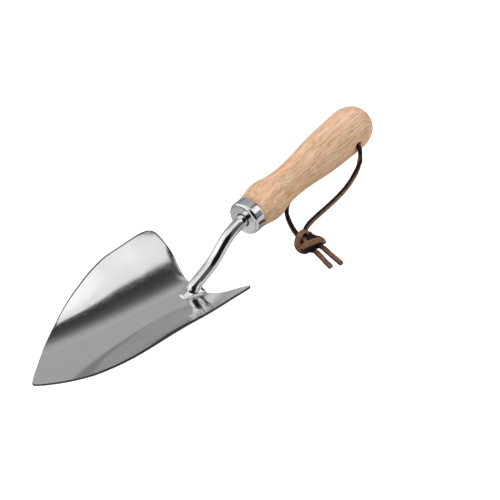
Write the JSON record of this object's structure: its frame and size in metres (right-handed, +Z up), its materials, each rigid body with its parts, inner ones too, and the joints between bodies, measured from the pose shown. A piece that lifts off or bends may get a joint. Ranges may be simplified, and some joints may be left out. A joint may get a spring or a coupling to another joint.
{
  "type": "hand trowel",
  "caption": "Hand trowel with a dished steel blade, swan-neck rod, ferrule, turned wooden handle and a knotted leather hanging loop.",
  "frame": {"origin": "centre of the ferrule's cylindrical band, on the handle axis", "axes": "+X along the handle axis towards the butt, +Z up out of the blade's hollow side, Y across"},
  "size_m": [0.3311, 0.1075, 0.044],
  "materials": {
    "blade_steel": "satin polished",
    "neck_steel": "polished",
    "weld_steel": "polished weld",
    "ferrule_steel": "polished",
    "handle_wood": "satin oiled hardwood",
    "adhesive": "set resin",
    "thong_leather": "waxed dark brown"
  },
  "bodies": {
    "trowel": {"blade": "blade_steel", "neck": "neck_steel", "weld_bead": "weld_steel", "ferrule": "ferrule_steel", "handle": "handle_wood", "tang_adhesive": "adhesive"},
    "thong": {"thong_loop": "thong_leather", "thong_knot": "thong_leather"},
    "tail_1": {"thong_tail_1": "thong_leather"},
    "tail_2": {"thong_tail_2": "thong_leather"}
  },
  "joints": [
    {"name": "thong_swing", "type": "hinge", "parent": "trowel", "child": "thong", "pos_m": [0.1029, 0, 0], "axis": [0, -1, 0], "range_deg": [0, 180]},
    {"name": "tail_1_bend", "type": "hinge", "parent": "thong", "child": "tail_1", "pos_m": [0.025, -0.0446, -0.0186], "axis": [-0.0716, 0, 0.9974], "range_deg": [-5, 20]},
    {"name": "tail_2_bend", "type": "hinge", "parent": "thong", "child": "tail_2", "pos_m": [0.0172, -0.0428, -0.0192], "axis": [-0.0716, 0, 0.9974], "range_deg": [-20, 5]}
  ]
}
